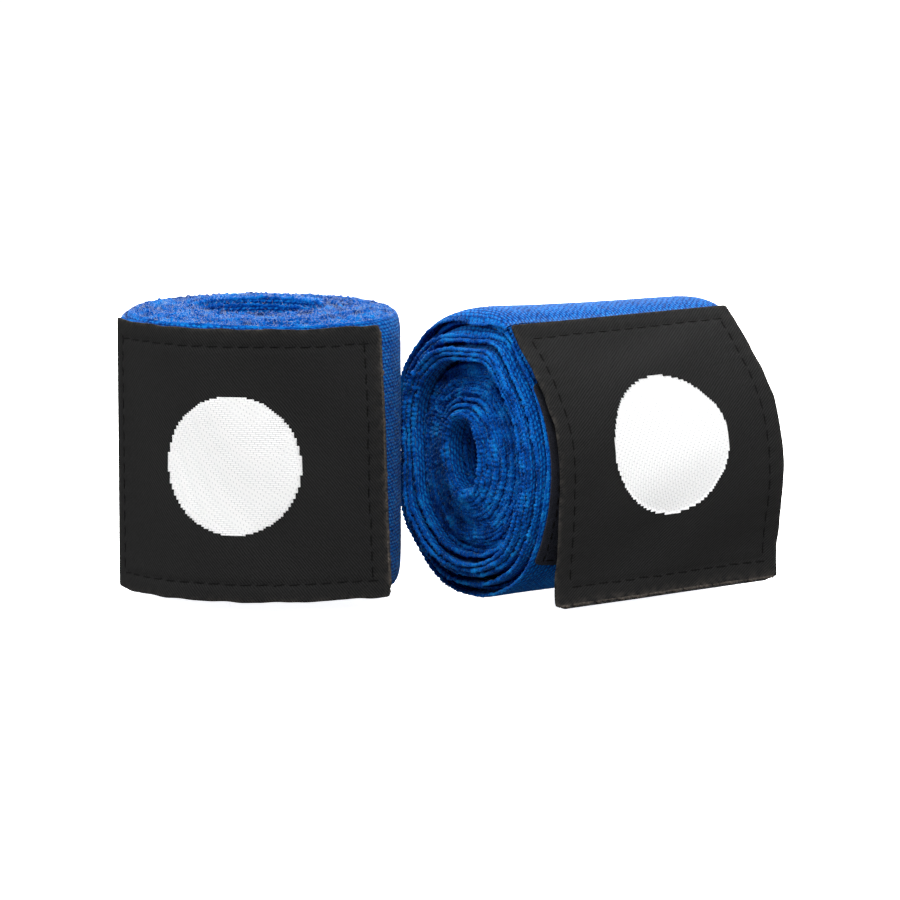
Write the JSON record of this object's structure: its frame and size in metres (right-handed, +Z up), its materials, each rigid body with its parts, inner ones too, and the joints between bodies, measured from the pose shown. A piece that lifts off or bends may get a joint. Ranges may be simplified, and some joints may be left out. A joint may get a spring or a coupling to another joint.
{
  "type": "boxing hand wraps",
  "caption": "Rolled elastic boxing hand wraps, one on end and one on its side, each with a thumb loop in its core and a label-faced hook-and-loop tab that peels open.",
  "frame": {"origin": "centre of the pair's footprint, on the surface it stands on", "axes": "+X from the standing wrap to the lying one, -Y towards the labels, +Z up"},
  "size_m": [0.122, 0.0718, 0.0508],
  "materials": {
    "band_cloth": "blue crepe-woven elastic cotton, fuzzy at the edges",
    "thumb_tape": "blue woven tape",
    "label_cloth": "black fine twill, matt",
    "badge_cloth": "white woven, matt",
    "loop_tape": "black brushed loop pile",
    "hook_tape": "black woven nylon hooks",
    "black_thread": "twisted polyester thread, slight sheen"
  },
  "bodies": {
    "left_wrap": {"left_band": "band_cloth", "left_thumb_loop": "thumb_tape", "left_thumb_loop_bartack": "black_thread", "left_loop_tape": "loop_tape", "left_loop_tape_stitching": "black_thread"},
    "left_tab": {"left_band_end": "band_cloth", "left_hook_tape": "hook_tape", "left_label": "label_cloth", "left_label_stitching": "black_thread", "left_badge": "badge_cloth"},
    "right_wrap": {"right_band": "band_cloth", "right_thumb_loop": "thumb_tape", "right_thumb_loop_bartack": "black_thread", "right_loop_tape": "loop_tape", "right_loop_tape_stitching": "black_thread"},
    "right_tab": {"right_band_end": "band_cloth", "right_hook_tape": "hook_tape", "right_label": "label_cloth", "right_label_stitching": "black_thread", "right_badge": "badge_cloth"}
  },
  "joints": [
    {"name": "left_tab_peel", "type": "hinge", "parent": "left_wrap", "child": "left_tab", "pos_m": [-0.06092, -0.00481, 0.025], "axis": [0, 0, -1], "range_deg": [0, 120]},
    {"name": "right_wrap_apart", "type": "slide", "parent": "left_wrap", "child": "right_wrap", "axis": [1, 0, 0], "range_m": [0, 0.15]},
    {"name": "right_tab_peel", "type": "hinge", "parent": "right_wrap", "child": "right_tab", "pos_m": [0.02955, -0.00556, 0.05039], "axis": [-0.8192, -0.5736, 0], "range_deg": [0, 120]}
  ]
}
